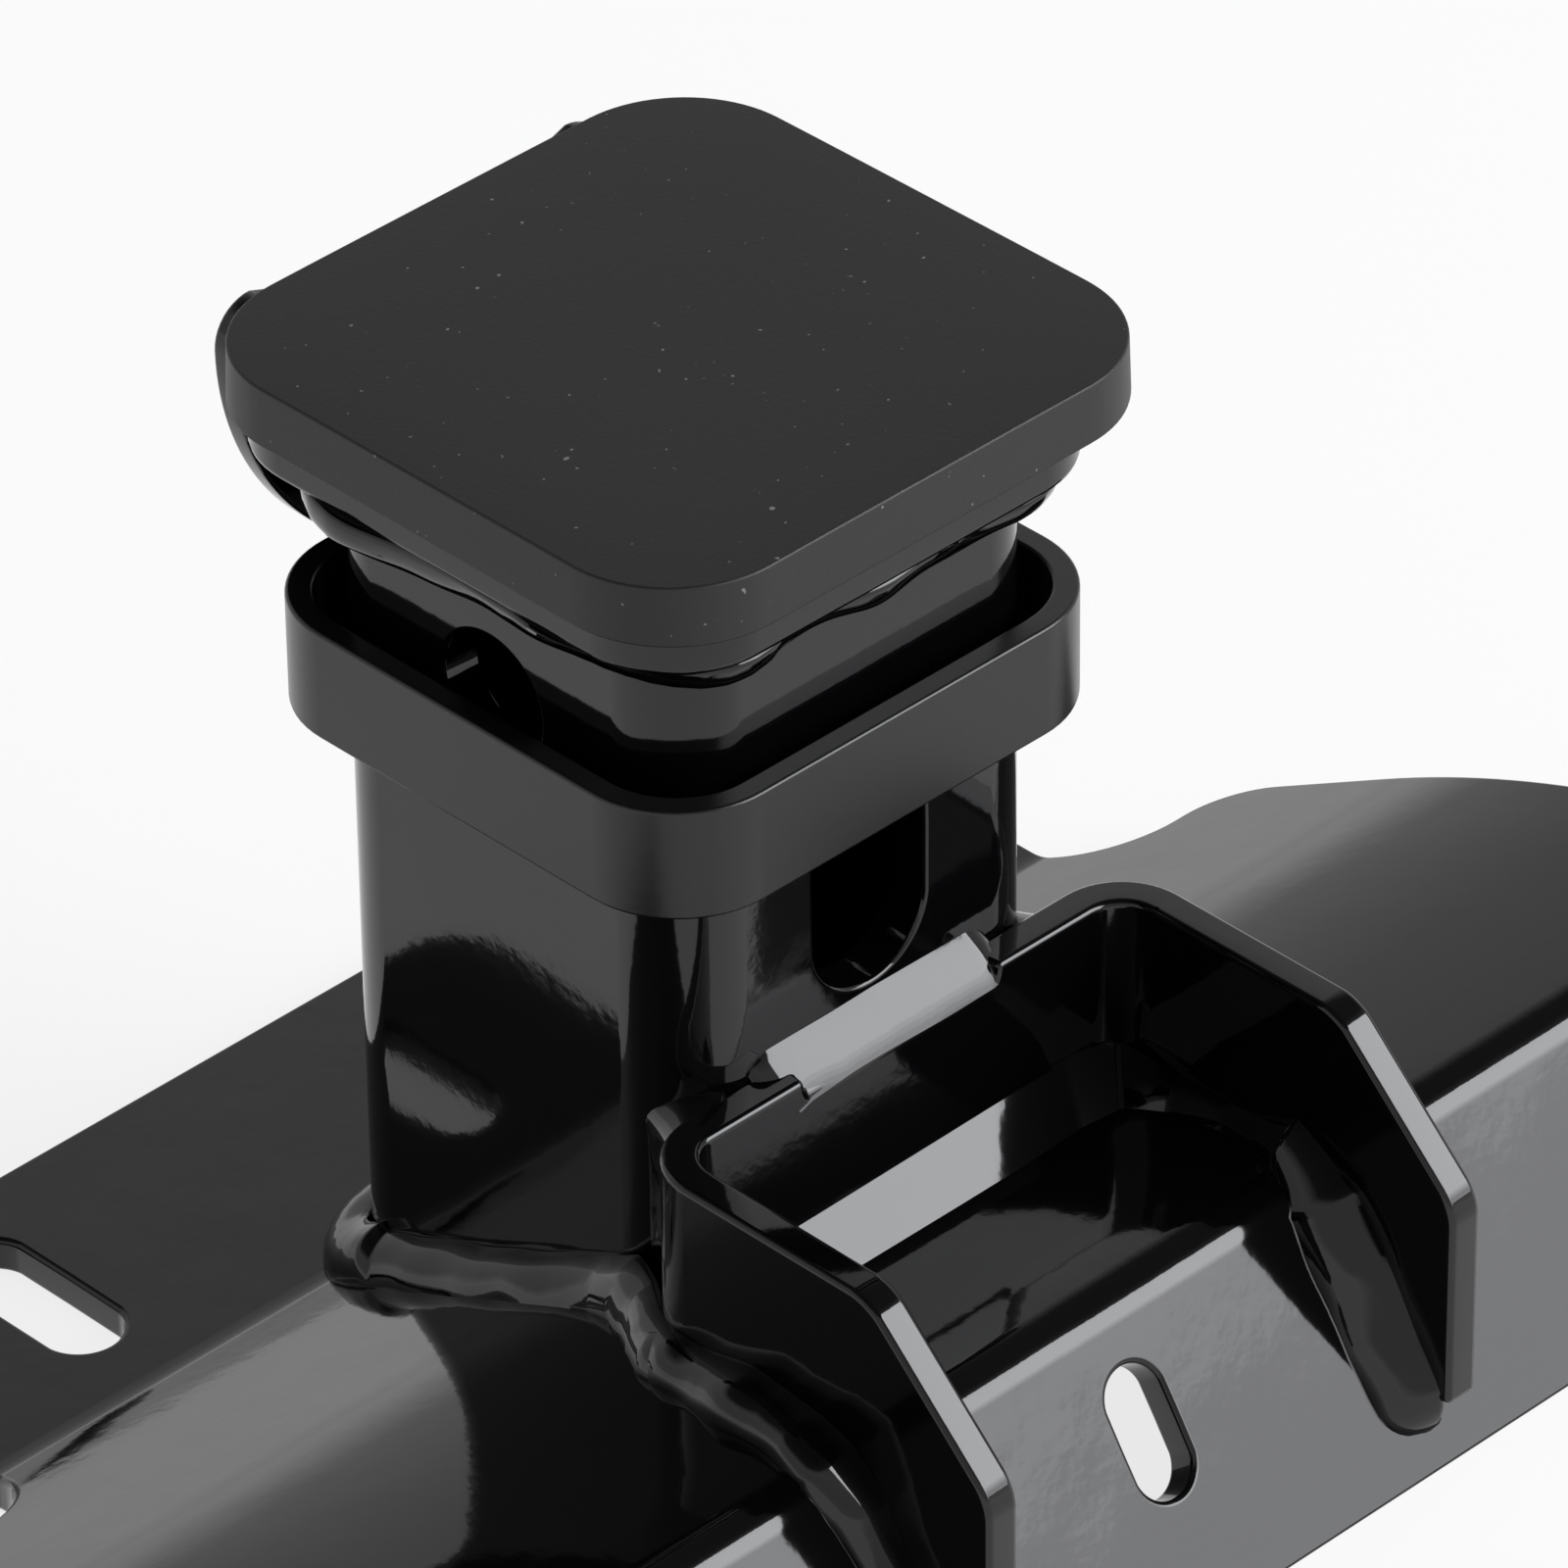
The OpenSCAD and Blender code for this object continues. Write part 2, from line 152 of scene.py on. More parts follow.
class HitchCapSizes(bpy.types.PropertyGroup):
    corner: length("Cap corner", "Corner radius of the cap's plate", 16.5 * MM)
    edge: length("Cap edge", "Radius of the cap's moulded edge", 0.35 * MM)
    dome: length("Cap dome", "Fall of the cap's top from its middle to the middle of a side", 0.35 * MM)
    draft: length("Cap draft", "Inward lean of the cap's sides", 0.2 * MM)
    plug: length("Plug", "Half width of the plug in the tube", 25.1 * MM)
    plug_wall: length("Plug wall", "Wall of the hollow plug", 3 * MM)
    plug_corner: length("Plug corner", "Corner radius of the plug", 4.35 * MM)
    plug_edge: length("Plug edge", "Radius of the plug's edges", 0.5 * MM)
    band_corner: length("Band corner", "Corner radius of the band", 14.4 * MM)
    band_wall: length("Band wall", "Wall of the band", 3.4 * MM)
    band_lip: length("Band lip", "Height of the band's inner lip", 6 * MM)
    band_edge: length("Band edge", "Radius of the band's edges", 0.5 * MM)
    band_clear: length("Band clearance", "Clearance of the band's lip round the tube", 0.3 * MM)


class HitchFinishes(bpy.types.PropertyGroup):
    coat: colour("Coat", "Colour of the powder coat", "#050506")
    band: colour("Band", "Colour of the band's rubber", "#0c0c0c")
    cap: colour("Cap", "Colour of the cap's rubber", "#111111")
    speck: colour("Speck", "Colour of the rubber's pale specks", "#6e6e6b")
    floor: colour("Floor", "Colour of the floor", "#f4f4f4")


# Modelling by hand


def only(obj):
    """Makes one object the selected and active one."""
    bpy.ops.object.select_all(action="DESELECT")
    obj.select_set(True)
    bpy.context.view_layer.objects.active = obj


def edit(obj):
    only(obj)
    bpy.ops.object.mode_set(mode="EDIT")


def leave():
    bpy.ops.object.mode_set(mode="OBJECT")


def pick(kind, test):
    """Selects, in edit mode, the vertices, edges or faces that pass a test."""
    bpy.ops.mesh.select_mode(type=kind)
    bpy.ops.mesh.select_all(action="DESELECT")
    mesh = bpy.context.edit_object.data
    shape = bmesh.from_edit_mesh(mesh)
    for part in {"VERT": shape.verts, "EDGE": shape.edges, "FACE": shape.faces}[kind]:
        if test(part):
            part.select_set(True)
    shape.select_flush_mode()
    bmesh.update_edit_mesh(mesh)


def modify(obj, kind, **settings):
    """Adds a modifier, sets it and applies it."""
    only(obj)
    mod = obj.modifiers.new(kind.title(), kind)
    for key, value in settings.items():
        setattr(mod, key, value)
    bpy.ops.object.modifier_apply(modifier=mod.name)


def cut(obj, tool, operation="DIFFERENCE"):
    """Cuts, joins or keeps what two solids share, and removes the tool."""
    modify(obj, "BOOLEAN", object=tool, operation=operation, solver="EXACT")
    mesh = tool.data
    bpy.data.objects.remove(tool)
    bpy.data.meshes.remove(mesh)


def outward(obj):
    """Merges doubled points and turns every face outwards."""
    edit(obj)
    bpy.ops.mesh.select_all(action="SELECT")
    bpy.ops.mesh.remove_doubles(threshold=0.002 * MM)
    bpy.ops.mesh.normals_make_consistent(inside=False)
    leave()


def round_edges(obj, width, segments=3, degrees=40):
    modify(obj, "BEVEL", width=width, segments=segments, limit_method="ANGLE",
           angle_limit=math.radians(degrees), use_clamp_overlap=False, miter_outer="MITER_ARC")


def block(name, low, high):
    """A box between two corners."""
    low, high = Vector(low), Vector(high)
    bpy.ops.object.select_all(action="DESELECT")
    bpy.ops.mesh.primitive_cube_add(size=1, location=(low + high) / 2)
    obj = bpy.context.object
    obj.name = obj.data.name = name
    obj.scale = high - low
    bpy.ops.object.transform_apply(location=True, rotation=True, scale=True)
    return obj


def square_bar(name, half, corner, low, high, steps=12):
    """An upright square bar round the tube's axis, its corners rounded."""
    obj = block(name, at(-half, -half, low), at(half, half, high))
    edit(obj)
    pick("EDGE", lambda e: abs(e.verts[0].co.z - e.verts[1].co.z) > (high - low) / 2)
    bpy.ops.mesh.bevel(offset=corner, segments=steps, profile=0.5, affect="EDGES")
    leave()
    return obj


def rod(name, radius, start, end, vertices=64):
    """A round bar between two places."""
    start, end = Vector(start), Vector(end)
    turn = (end - start).to_track_quat("Z", "Y").to_euler()
    bpy.ops.object.select_all(action="DESELECT")
    bpy.ops.mesh.primitive_cylinder_add(vertices=vertices, radius=radius, depth=(end - start).length,
                                        location=(start + end) / 2, rotation=turn)
    obj = bpy.context.object
    obj.name = obj.data.name = name
    bpy.ops.object.transform_apply(location=True, rotation=True, scale=True)
    return obj


def slot_bar(name, width, size, start, end, along):
    """A round bar pulled apart into a slot's shape, along one direction."""
    obj = rod(name, width / 2, start, end, 48)
    along = Vector(along).normalized()
    middle = (Vector(start) + Vector(end)) / 2
    edit(obj)
    for side in (-1, 1):
        pick("VERT", lambda v: side * (v.co - middle).dot(along) > 1e-6)
        bpy.ops.transform.translate(value=along * side * (size - width) / 2)
    leave()
    return obj


def run(*step):
    return ("run", Vector(step))


def turn(degrees, centre, steps):
    return ("turn", math.radians(degrees), Vector(centre), steps)


def draw(name, start, moves, axis):
    """Draws a line of edges from a place, by straight runs and by turns about an axis."""
    bpy.ops.object.select_all(action="DESELECT")
    bpy.ops.mesh.primitive_plane_add(size=MM)
    obj = bpy.context.object
    obj.name = obj.data.name = name
    bpy.ops.object.mode_set(mode="EDIT")
    bpy.ops.mesh.select_mode(type="VERT")
    bpy.ops.mesh.select_all(action="SELECT")
    bpy.ops.mesh.merge(type="CENTER")
    bpy.ops.transform.translate(value=start)
    for move in moves:
        if move[0] == "run":
            bpy.ops.mesh.extrude_region_move(TRANSFORM_OT_translate={"value": move[1]})
        else:
            bpy.ops.mesh.spin(steps=move[3], angle=-move[1], center=move[2], axis=axis)
    bpy.ops.mesh.select_all(action="SELECT")
    bpy.ops.mesh.remove_doubles(threshold=0.002 * MM)
    leave()
    return obj


def pull(obj, step, fill=False):
    """Fills the drawn line if asked, and pulls it out into a sheet or a solid."""
    edit(obj)
    bpy.ops.mesh.select_all(action="SELECT")
    if fill:
        bpy.ops.mesh.edge_face_add()
    bpy.ops.mesh.extrude_region_move(TRANSFORM_OT_translate={"value": Vector(step)})
    bpy.ops.mesh.select_all(action="SELECT")
    bpy.ops.mesh.normals_make_consistent(inside=False)
    leave()
    return obj


def face_up(obj, way):
    """Turns an open sheet's faces to one side."""
    way = Vector(way)
    if sum((p.normal.dot(way) * p.area for p in obj.data.polygons)) < 0:
        edit(obj)
        bpy.ops.mesh.select_all(action="SELECT")
        bpy.ops.mesh.flip_normals()
        leave()


def finish(obj, body, nodes, finish_material, degrees=32):
    """Shades a finished piece, gives it its finish and its body, and hides the solids of its nodes."""
    only(obj)
    bpy.ops.object.shade_smooth_by_angle(angle=math.radians(degrees))
    modify(obj, "WEIGHTED_NORMAL", keep_sharp=True, weight=60)
    obj.data.materials.clear()
    obj.data.materials.append(finish_material)
    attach(obj, body)
    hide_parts(*nodes)


# The plate's line, which the plate, the tube, the bracket and the welds share


def plate_corners(p):
    """Centres and ends of the bends in the plate's top surface, from the tube's axis."""
    a = p.ramp_angle
    foot_y = p.ramp_foot + p.foot_radius * math.tan(a / 2)
    foot = Vector((foot_y, p.thickness + p.foot_radius))
    ramp = foot + p.foot_radius * Vector((-math.sin(a), -math.cos(a)))
    crown_start = -p.crown_y + p.crown_radius * math.sin(a)
    rise = (ramp.x - crown_start) * math.tan(a)
    crown = Vector((-p.crown_y, ramp.y + rise - p.crown_radius * math.cos(a)))
    nose = Vector((-p.crown_y, crown.y + p.crown_radius - p.nose_radius))
    return foot, ramp, crown, nose


def plate_height(p, y):
    """Height of the plate's top surface at a distance from the tube's axis."""
    foot, ramp, crown, nose = plate_corners(p)
    a = p.ramp_angle
    if y > foot.x:
        return p.thickness
    if y > ramp.x:
        return foot.y - math.sqrt(p.foot_radius ** 2 - (y - foot.x) ** 2)
    if y > crown.x + p.crown_radius * math.sin(a):
        return ramp.y + (ramp.x - y) * math.tan(a)
    if y > crown.x:
        return crown.y + math.sqrt(p.crown_radius ** 2 - (y - crown.x) ** 2)
    end = nose.x - p.nose_radius * math.cos(p.front_angle)
    if y > end:
        return nose.y + math.sqrt(max(p.nose_radius ** 2 - (y - nose.x) ** 2, 0))
    tip = nose.y + p.nose_radius * math.sin(p.front_angle)
    return tip - (end - y) / math.tan(p.front_angle)


def plate_sheet(p, name, half, back, drop):
    """The plate's top surface as an open sheet, from a distance behind the axis to a drop
    below the standing plane."""
    foot, ramp, crown, nose = plate_corners(p)
    a = p.ramp_angle
    crown_start = crown + p.crown_radius * Vector((math.sin(a), math.cos(a)))
    up_ramp = crown_start - ramp
    tip_z = nose.y + p.nose_radius * math.sin(p.front_angle) + drop
    down = Vector((0, -tip_z * math.tan(p.front_angle), -tip_z))
    line = draw(name, at(-half, back, p.thickness), [
        run(0, foot.x - back, 0),
        turn(-math.degrees(a), at(0, foot.x, foot.y), 8),
        run(0, up_ramp.x, up_ramp.y),
        turn(math.degrees(a), at(0, crown.x, crown.y), 24),
        turn(90 - math.degrees(p.front_angle), at(0, nose.x, nose.y), 18),
        run(*down)], (1, 0, 0))
    pull(line, (2 * half, 0, 0))
    face_up(line, (0, 0, 1))
    return line


def under_plate(p):
    """Everything from the plate's top surface down, to cut what stands on it."""
    return pull(plate_sheet(p, "under_plate", FAR, 120 * MM, 20 * MM), (0, 0, -80 * MM))


# Finishes


def tone(code):
    """An sRGB hex colour as linear red, green, blue and alpha."""
    parts = [int(code[i:i + 2], 16) / 255 for i in (1, 3, 5)]
    return [c / 12.92 if c <= 0.04045 else ((c + 0.055) / 1.055) ** 2.4 for c in parts] + [1]


def add(tree, kind, inputs=None, **settings):
    """Adds a node with its settings, and with values or sockets for its inputs."""
    made = tree.nodes.new(kind)
    for key, value in settings.items():
        setattr(made, key, value)
    for key, value in (inputs or {}).items():
        if isinstance(value, bpy.types.NodeSocket):
            tree.links.new(value, made.inputs[key])
        else:
            made.inputs[key].default_value = value
    return made


def blank(name):
    mat = bpy.data.materials.new(name)
    mat.use_nodes = True
    mat.node_tree.nodes.clear()
    return mat, mat.node_tree


def gloss_powder_coat(sizes):
    """Polyester powder coat on steel, sprayed and baked: deep black with a wet gloss, whose
    faint orange peel breaks the edges of what it mirrors."""
    mat, tree = blank("gloss_black_powder_coat")
    place = add(tree, "ShaderNodeTexCoord").outputs["Object"]
    # The peel's grains lie about 2.4 mm apart, and the steel under it swells over about 14 mm
    peel = add(tree, "ShaderNodeTexNoise", {
        "Vector": place, "Scale": 1 / (2.381 * MM), "Detail": 2, "Roughness": 0.5})
    swell = add(tree, "ShaderNodeTexNoise", {
        "Vector": place, "Scale": 1 / (14.286 * MM), "Detail": 1, "Roughness": 0.4})
    bump = add(tree, "ShaderNodeBump", {
        "Height": peel.outputs["Fac"], "Strength": 0.04, "Distance": 0.3 * MM})
    bump = add(tree, "ShaderNodeBump", {
        "Height": swell.outputs["Fac"], "Strength": 0.05, "Distance": 1.5 * MM,
        "Normal": bump.outputs["Normal"]})
    shader = add(tree, "ShaderNodeBsdfPrincipled", {
        "Base Color": tone(sizes.coat), "Roughness": 0.06, "IOR": 1.5, "Normal": bump.outputs["Normal"]})
    add(tree, "ShaderNodeOutputMaterial", {"Surface": shader.outputs["BSDF"]})
    return mat


def satin_band_rubber(sizes):
    """Moulded rubber with a satin skin: near black, with a broad soft sheen."""
    mat, tree = blank("satin_black_rubber")
    place = add(tree, "ShaderNodeTexCoord").outputs["Object"]
    # The mould's grain is finer than a tenth of a millimetre, and is drawn at 1.1 mm to show
    grain = add(tree, "ShaderNodeTexNoise", {
        "Vector": place, "Scale": 1 / (1.1111 * MM), "Detail": 3, "Roughness": 0.6})
    bump = add(tree, "ShaderNodeBump", {
        "Height": grain.outputs["Fac"], "Strength": 0.12, "Distance": 0.1 * MM})
    shader = add(tree, "ShaderNodeBsdfPrincipled", {
        "Base Color": tone(sizes.band), "Roughness": 0.28, "IOR": 1.5, "Normal": bump.outputs["Normal"]})
    add(tree, "ShaderNodeOutputMaterial", {"Surface": shader.outputs["BSDF"]})
    return mat


def matte_cap_rubber(sizes):
    """Moulded rubber with a matte, finely grained skin that drinks the light."""
    mat, tree = blank("matte_black_rubber")
    place = add(tree, "ShaderNodeTexCoord").outputs["Object"]
    # The skin's grain is finer than a tenth of a millimetre, and is drawn at 0.7 mm to show
    grain = add(tree, "ShaderNodeTexNoise", {
        "Vector": place, "Scale": 1 / (0.71429 * MM), "Detail": 3, "Roughness": 0.7})
    bump = add(tree, "ShaderNodeBump", {
        "Height": grain.outputs["Fac"], "Strength": 0.3, "Distance": 0.1 * MM})
    # Only the highest peaks of a noise with 1.1 mm cells become specks, a few tenths across
    dust = add(tree, "ShaderNodeTexNoise", {
        "Vector": place, "Scale": 1 / (1.1111 * MM), "Detail": 1, "Roughness": 0.5})
    speck = add(tree, "ShaderNodeMapRange", {
        "Value": dust.outputs["Fac"], "From Min": 0.76, "From Max": 0.8})
    skin = add(tree, "ShaderNodeMix", {
        "Factor": speck.outputs["Result"], "A": tone(sizes.cap), "B": tone(sizes.speck)}, data_type="RGBA")
    shader = add(tree, "ShaderNodeBsdfPrincipled", {
        "Base Color": skin.outputs["Result"], "Roughness": 0.5, "IOR": 1.5,
        "Normal": bump.outputs["Normal"]})
    add(tree, "ShaderNodeOutputMaterial", {"Surface": shader.outputs["BSDF"]})
    return mat


def finish_named(name, make):
    """The finish of that name, made once."""
    return bpy.data.materials.get(name) or make(bpy.context.scene.hitch_finishes)


# Weld beads


def weld_line(stops, step=0.8 * MM):
    """Fills in a path of stops (corner, up leg, out leg, crown, lump) at even steps."""
    made = [stops[0]]
    for a, b in zip(stops, stops[1:]):
        count = max(1, round((b[0] - a[0]).length / step))
        for k in range(1, count + 1):
            t = k / count
            made.append([p * (1 - t) + q * t for p, q in zip(a, b)])
    return made


def bead(name, stops, closed=False, swell=12 * MM, tip=5 * MM, seed=0):
    """Lays a bead along stops. No hand tool lays a weld along a bent path, so it starts as a
    grid whose rows are placed in code: each row runs from a toe on one wall over its crown to
    a toe on the other, and slow swells along the bead make its lumps."""
    across = 14
    # How far the bead's hidden sides run into the walls
    sink = 0.7 * MM
    line = weld_line(stops)
    bpy.ops.object.select_all(action="DESELECT")
    bpy.ops.mesh.primitive_grid_add(x_subdivisions=across + 4, y_subdivisions=len(line) - 1, size=MM)
    obj = bpy.context.object
    obj.name = obj.data.name = name
    verts = obj.data.vertices
    along = 0.0
    last = line[0][0]
    total = sum((q[0] - p[0]).length for p, q in zip(line, line[1:]))
    for row, (corner, up, out, crown, lump) in enumerate(line):
        along += (corner - last).length
        last = corner
        spot = Vector((along, 0))
        if closed:
            ring = 2 * math.pi * along / total
            spot = Vector((math.cos(ring), math.sin(ring))) * total / (2 * math.pi)
        # Slow waves for the leg up, the leg out, the crown and its lean
        waves = [noise.noise(Vector((spot.x / swell, spot.y / swell, seed + 7.3 * k))) for k in range(4)]
        # An open bead's ends are rounded
        near = 1 if closed else min(1, min(along, total - along) / tip)
        end = max(0.12, math.sqrt(1 - (1 - near) ** 2))
        high = up * (1 + lump * waves[0]) * end
        wide = out * (1 + lump * waves[1]) * end
        raised = (up.normalized() + out.normalized()).normalized() * (wide - high).length
        back = -(up.normalized() + out.normalized()) * sink
        points = []
        for k in range(across + 1):
            t = k / across
            arch = 4 * t * (1 - t) * (crown + lump * waves[2] * 0.5)
            arch += 0.12 * lump * waves[3] * math.sin(2 * math.pi * t)
            points.append(corner + high * (1 - t) + wide * t + raised * arch + back * 0.2)
        # Back to the start inside the walls, round the root
        points += [corner + wide + back, corner + back, corner + high + back, points[0]]
        for k, point in enumerate(points):
            verts[row * (across + 5) + k].co = point
    edit(obj)
    bpy.ops.mesh.select_all(action="SELECT")
    bpy.ops.mesh.remove_doubles(threshold=0.002 * MM)
    bpy.ops.mesh.select_mode(type="EDGE")
    bpy.ops.mesh.select_all(action="DESELECT")
    bpy.ops.mesh.select_non_manifold()
    bpy.ops.mesh.edge_face_add()
    bpy.ops.mesh.select_all(action="SELECT")
    bpy.ops.mesh.normals_make_consistent(inside=False)
    leave()
    return obj


def on_plate(x, y, out_x, out_y, tall, wide, crown=0.22, lump=0.12):
    """A stop on a wall that stands on the plate, in millimetres: its leg up the wall is tall,
    and its leg out over the plate is wide. On an ear, whose toe lies straight across the
    slope, the wall's leg stands square to the slope."""
    p = bpy.context.scene.hitch_plate
    out = Vector((out_x, out_y, 0)).normalized() * wide * MM
    foot = plate_height(p, y * MM)
    out.z = plate_height(p, y * MM + out.y) - foot
    slope = (plate_height(p, (y + 1) * MM) - plate_height(p, (y - 1) * MM)) / (2 * MM)
    slope *= (out.x / out.xy.length) ** 2
    up = Vector((0, -slope, 1)).normalized() * tall * MM
    return (at(x * MM, y * MM, foot), up, out, crown, lump)


def round_tube(quarters, steps=8):
    """Places round the tube's corners, in millimetres, each with its outward direction."""
    corner = bpy.context.scene.hitch_tube.corner / MM
    flat = HALF / MM - corner
    made = []
    for quarter in quarters:
        side_x, side_y = ((1, 1), (-1, 1), (-1, -1), (1, -1))[quarter]
        for k in range(steps + 1):
            a = math.radians(90 * quarter + 90 * k / steps)
            out = (math.cos(a), math.sin(a))
            made.append((side_x * flat + corner * out[0], side_y * flat + corner * out[1]) + out)
    return made


def lay(name, stops, node, **shape):
    """Lays a bead and finishes it in the place of a weld's node."""
    finish(bead(name, stops, **shape), "receiver", [node],
           finish_named("gloss_black_powder_coat", gloss_powder_coat), degrees=60)


# The pieces


class PieceOperator:
    """What every piece's operator shares."""
    bl_options = {"REGISTER", "UNDO"}


class HITCH_OT_body_plate(PieceOperator, bpy.types.Operator):
    """Forms the body plate from one sheet, cuts its outline and slots, and rounds its edges"""
    bl_idname = "hitch.body_plate"
    bl_label = "Body plate"

    def execute(self, context):
        p = context.scene.hitch_plate
        back = PLATE[1].y - AXIS_Y
        half = PLATE[1].x
        spare = 5 * MM
        plate = plate_sheet(p, "formed_plate", half + spare, back + spare, 6 * MM)
        modify(plate, "SOLIDIFY", thickness=p.thickness, offset=-1, use_even_offset=True)
        # Only the front needs its foot cut level: the flange's underside already lies there
        front = PLATE[0].y
        cut(plate, block("foot_cut", (-FAR, front - 20 * MM, -30 * MM), (FAR, front + 30 * MM, 0)))

        side_way = Vector((math.cos(p.flare), math.sin(p.flare)))
        shoulder = Vector((p.flange_half + p.step_radius + p.shoulder_run,
                           p.ramp_foot - p.step_radius - p.shoulder_radius))
        flare = Vector((0, -p.flare_y))
        up_side = flare + half * side_way - shoulder - p.shoulder_radius * side_way
        flare_turn = math.degrees(p.flare)
        outline = draw("outline", at(0, back, -OVER), [
            run(p.flange_half - p.flange_corner, 0, 0),
            turn(-90, at(p.flange_half - p.flange_corner, back - p.flange_corner, 0), 10),
            run(0, p.ramp_foot - back + p.flange_corner, 0),
            turn(90, at(p.flange_half + p.step_radius, p.ramp_foot, 0), 12),
            run(p.shoulder_run, 0, 0),
            turn(flare_turn - 90, at(*shoulder, 0), 10),
            run(*up_side, 0),
            turn(-flare_turn, at(*flare, 0), 8),
            run(0, front - AXIS_Y - flare.y - spare, 0),
            run(-half, 0, 0)], (0, 0, 1))
        modify(outline, "MIRROR", use_axis=(True, False, False))
        pull(outline, (0, 0, 80 * MM), fill=True)
        cut(plate, outline, "INTERSECT")

        for side in (-1, 1):
            x = side * p.slot_x
            cut(plate, slot_bar("slot", p.slot_width, p.slot_length, at(x, p.slot_y, -OVER),
                                at(x, p.slot_y, 2 * OVER), (0, 1, 0)))
        nose = plate_corners(p)[3]
        a = p.front_angle
        out = Vector((0, -math.cos(a), math.sin(a)))
        down = Vector((0, -math.sin(a), -math.cos(a)))
        spot = at(0, nose.x, nose.y) + out * p.nose_radius + down * p.front_slot_drop
        cut(plate, slot_bar("slot", p.front_slot_width, p.front_slot_length,
                            spot - out * (p.thickness + OVER), spot + out * OVER, down))
        outward(plate)
        round_edges(plate, p.edge)
        finish(plate, "receiver", ["body_plate"],
               finish_named("gloss_black_powder_coat", gloss_powder_coat))
        return {"FINISHED"}


class HITCH_OT_receiver_tube(PieceOperator, bpy.types.Operator):
    """Makes the square tube with its pin holes and front slot, and the collar round its mouth"""
    bl_idname = "hitch.receiver_tube"
    bl_label = "Receiver tube and collar"

    def execute(self, context):
        t = context.scene.hitch_tube
        p = context.scene.hitch_plate
        coat = finish_named("gloss_black_powder_coat", gloss_powder_coat)
        tube = square_bar("square_tube", HALF, t.corner, 0, MOUTH, 16)
        edit(tube)
        pick("FACE", lambda f: abs(f.normal.z) > 0.9)
        bpy.ops.mesh.inset(thickness=t.wall)
        bpy.ops.mesh.bridge_edge_loops()
        leave()
        cut(tube, under_plate(p))
        pin = MOUTH - t.pin_drop
        cut(tube, rod("pin", t.pin_radius, at(-HALF - OVER, 0, pin), at(HALF + OVER, 0, pin)))
        middle = (t.slot_low + t.slot_high) / 2
        cut(tube, slot_bar("slot", t.slot_width, t.slot_high - t.slot_low, at(0, -HALF - OVER, middle),
                           at(0, -HALF + t.wall + OVER, middle), (0, 0, 1)))
        outward(tube)
        round_edges(tube, t.edge)
        finish(tube, "receiver", ["receiver_tube"], coat)
        collar = square_bar("mouth_ring", COLLAR[1].x, t.collar_corner, COLLAR[0].z, COLLAR[1].z, 16)
        edit(collar)
        pick("VERT", lambda v: v.co.y > AXIS_Y)
        bpy.ops.transform.translate(value=(0, COLLAR[1].y - AXIS_Y - COLLAR[1].x, 0))
        leave()
        cut(collar, square_bar("inside", HALF, t.corner, 0, MOUTH + OVER, 16))
        round_edges(collar, t.collar_edge)
        finish(collar, "receiver", ["mouth_collar"], coat)
        return {"FINISHED"}


class HITCH_OT_sliding_band(PieceOperator, bpy.types.Operator):
    """Moulds the band that slides on the tube, with its inner lip"""
    bl_idname = "hitch.sliding_band"
    bl_label = "Sliding band"

    def execute(self, context):
        c = context.scene.hitch_cap
        t = context.scene.hitch_tube
        half, low, high = BAND[1].x, BAND[0].z, BAND[1].z
        band = square_bar("rubber_band", half, c.band_corner, low, high, 16)
        cut(band, square_bar("inside", half - c.band_wall, c.band_corner - c.band_wall, low + c.band_lip,
                             high + OVER, 16))
        cut(band, square_bar("inside", HALF + c.band_clear, t.corner + c.band_clear, low - OVER, high, 16))
        outward(band)
        round_edges(band, c.band_edge)
        finish(band, "band", ["sliding_band"],
               finish_named("satin_black_rubber", satin_band_rubber))
        return {"FINISHED"}


class HITCH_OT_end_cap(PieceOperator, bpy.types.Operator):
    """Moulds the cap's plate and the hollow plug under it"""
    bl_idname = "hitch.end_cap"
    bl_label = "End cap"

    def execute(self, context):
        c = context.scene.hitch_cap
        low, high = CAP
        cap = square_bar("rubber_cap", high.x, c.corner, MOUTH, high.z, 20)
        middle = (MOUTH + high.z) / 2
        narrow = 1 - c.draft / high.x
        edit(cap)
        pick("VERT", lambda v: v.co.z > middle)
        bpy.ops.transform.resize(value=(narrow, narrow, 1), center_override=at(0, 0, high.z))
        leave()
        round_edges(cap, c.edge)
        # The dome needs rows of points across the top, nine from the middle to each side
        rows = 9
        edit(cap)
        for k in range(1 - rows, rows):
            for across in (Vector((1, 0, 0)), Vector((0, 1, 0))):
                bpy.ops.mesh.select_all(action="SELECT")
                bpy.ops.mesh.bisect(plane_co=at(0, 0, 0) + across * k * high.x / rows, plane_no=across)
        leave()
        for v in cap.data.vertices:
            if v.co.z > middle:
                v.co.z -= c.dome * (v.co.x ** 4 + (v.co.y - AXIS_Y) ** 4) / high.x ** 4
        plug = square_bar("plug", c.plug, c.plug_corner, low.z, MOUTH + 1 * MM, 8)
        cut(plug, square_bar("hollow", c.plug - c.plug_wall, c.plug_corner - c.plug_wall,
                             low.z - OVER, MOUTH, 6))
        outward(plug)
        round_edges(plug, c.plug_edge)
        cut(cap, plug, "UNION")
        finish(cap, "cap", ["end_cap"], finish_named("matte_black_rubber", matte_cap_rubber))
        return {"FINISHED"}


